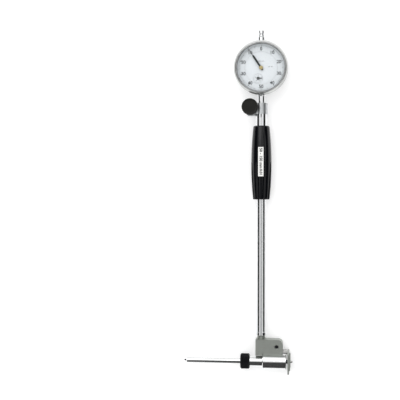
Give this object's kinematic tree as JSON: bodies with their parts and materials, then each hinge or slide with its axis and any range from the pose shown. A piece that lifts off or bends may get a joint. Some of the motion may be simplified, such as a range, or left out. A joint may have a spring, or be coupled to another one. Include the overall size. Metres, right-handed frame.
{
  "type": "dial bore gauge",
  "caption": "Dial bore gauge with a round dial indicator on a fluted grip, a long slender tube and a T-shaped measuring head with a spring contact, centring guide and exchangeable rod.",
  "frame": {"origin": "centre of the flat back of the dial indicator, on the surface the gauge lies on", "axes": "+Y along the tube from the measuring head to the dial, +X along the measuring axis towards the sprung contact, +Z out of the dial face"},
  "size_m": [0.1119, 0.3513, 0.0246],
  "materials": {
    "satin_chrome": "satin turned chrome with fine rings",
    "bright_chrome": "polished chrome",
    "satin_aluminium": "fine brushed",
    "satin_steel": "satin, slightly greenish grey",
    "hardened_steel": "ground",
    "spring_steel": "drawn wire",
    "blued_steel": "blued, dark",
    "blackened_steel": "blackened, knurled",
    "black_knob": "black, satin",
    "black_grip": "glossy moulded black",
    "label": "white printed strip",
    "brass": "satin brass",
    "dial_white": "bluish white enamel with black print",
    "black_needle": "black lacquer",
    "clear": "clear acrylic lens"
  },
  "bodies": {
    "holder": {"clamp_band": "satin_aluminium", "neck_sleeve": "bright_chrome", "grip": "black_grip", "grip_label": "label", "tube": "satin_chrome", "push_rod_bush": "brass", "lower_collar": "satin_chrome", "collar_screw": "blued_steel", "head_bracket": "satin_steel", "barrel": "bright_chrome", "pivot_pin": "hardened_steel", "front_bush": "hardened_steel", "rod_socket": "bright_chrome", "guide_springs": "spring_steel", "push_rod_spring": "spring_steel"},
    "indicator": {"indicator_case": "satin_aluminium", "back_cover": "satin_aluminium", "cover_screws": "hardened_steel", "stem": "bright_chrome", "upper_bushing": "bright_chrome", "front_bridge": "brass", "bridge_pillars": "brass", "rear_bridge": "brass", "rear_posts": "brass", "rack_guide": "hardened_steel", "spring_post": "hardened_steel", "inner_dial": "dial_white", "hairspring": "spring_steel", "hairspring_stud": "brass", "return_spring": "spring_steel"},
    "rotating_bezel": {"bezel": "satin_chrome", "scale_ring": "dial_white", "crystal": "clear"},
    "pointer": {"main_pointer": "black_needle", "centre_arbor": "hardened_steel"},
    "turn_counter": {"counter_pointer": "black_needle", "counter_wheel": "brass", "counter_arbor": "hardened_steel"},
    "hairspring_gear": {"hairspring_wheel": "brass", "hairspring_arbor": "hardened_steel"},
    "plunger": {"spindle": "hardened_steel", "spindle_cap": "bright_chrome", "contact_point": "hardened_steel", "rack_pin": "hardened_steel"},
    "knob": {"clamp_knob": "black_knob", "clamp_stud": "hardened_steel"},
    "transfer_rod": {"push_rod": "hardened_steel"},
    "lever": {"bell_crank": "hardened_steel"},
    "contact": {"contact_plunger": "blued_steel", "contact_tip": "hardened_steel"},
    "centring_guide": {"guide_plate": "satin_steel", "guide_pins": "hardened_steel"},
    "fixed_rod": {"measuring_rod": "bright_chrome", "rod_tip": "blued_steel"},
    "nut": {"lock_nut": "blackened_steel"}
  },
  "joints": [
    {"name": "main_pointer_turn", "type": "hinge", "parent": "indicator", "child": "pointer", "pos_m": [0, 0, 0.0193], "axis": [0, 0, -1], "range_deg": [0, 577]},
    {"name": "counter_turn", "type": "hinge", "parent": "indicator", "child": "turn_counter", "pos_m": [-0.003, -0.01058, 0.0184], "axis": [0, 0, 1], "range_deg": [0, 57.8]},
    {"name": "hairspring_wheel_turn", "type": "hinge", "parent": "indicator", "child": "hairspring_gear", "pos_m": [0.00707, 0.00843, 0.0145], "axis": [0, 0, 1], "range_deg": [0, 57.8], "deforming": ["hairspring"]},
    {"name": "spindle_slide", "type": "slide", "parent": "indicator", "child": "plunger", "axis": [0, 1, 0], "range_m": [0, 0.0016], "deforming": ["return_spring"]},
    {"name": "push_rod_slide", "type": "slide", "parent": "holder", "child": "transfer_rod", "axis": [0, 1, 0], "range_m": [0, 0.0016], "deforming": ["push_rod_spring"]},
    {"name": "lever_turn", "type": "hinge", "parent": "holder", "child": "lever", "pos_m": [0.016, -0.284, 0.011], "axis": [0, 0, -1], "range_deg": [0, 5.8]},
    {"name": "contact_slide", "type": "slide", "parent": "holder", "child": "contact", "axis": [-1, 0, 0], "range_m": [0, 0.0016]},
    {"name": "indicator_slide", "type": "slide", "parent": "holder", "child": "indicator", "axis": [0, 1, 0], "range_m": [0, 0.012]},
    {"name": "bezel_turn", "type": "hinge", "parent": "indicator", "child": "rotating_bezel", "pos_m": [0, 0, 0.02], "axis": [0, 0, 1], "continuous": true},
    {"name": "knob_turn", "type": "hinge", "parent": "holder", "child": "knob", "pos_m": [-0.0113, -0.0394, 0.0165], "axis": [0, 0, 1], "range_deg": [0, 180]},
    {"name": "guide_press", "type": "slide", "parent": "holder", "child": "centring_guide", "axis": [-1, 0, 0], "range_m": [0, 0.0012], "stiffness_N_per_m": 300, "springref_m": -0.002, "deforming": ["guide_springs"]},
    {"name": "nut_turn", "type": "hinge", "parent": "holder", "child": "nut", "pos_m": [-0.0165, -0.3, 0.011], "axis": [1, 0, 0], "range_deg": [-1081, 1081]},
    {"name": "rod_slide", "type": "slide", "parent": "holder", "child": "fixed_rod", "axis": [1, 0, 0], "range_m": [-0.003, 0.003]}
  ],
  "couplings": [
    {"joint": "main_pointer_turn", "follows": "contact_slide", "rad_per_m": 6283.2},
    {"joint": "counter_turn", "follows": "contact_slide", "rad_per_m": 628.32},
    {"joint": "hairspring_wheel_turn", "follows": "contact_slide", "rad_per_m": 628.32},
    {"joint": "spindle_slide", "follows": "contact_slide", "ratio": 1},
    {"joint": "push_rod_slide", "follows": "contact_slide", "ratio": 1},
    {"joint": "lever_turn", "follows": "contact_slide", "rad_per_m": 62.5},
    {"joint": "nut_turn", "follows": "rod_slide", "rad_per_m": 6283.2}
  ]
}
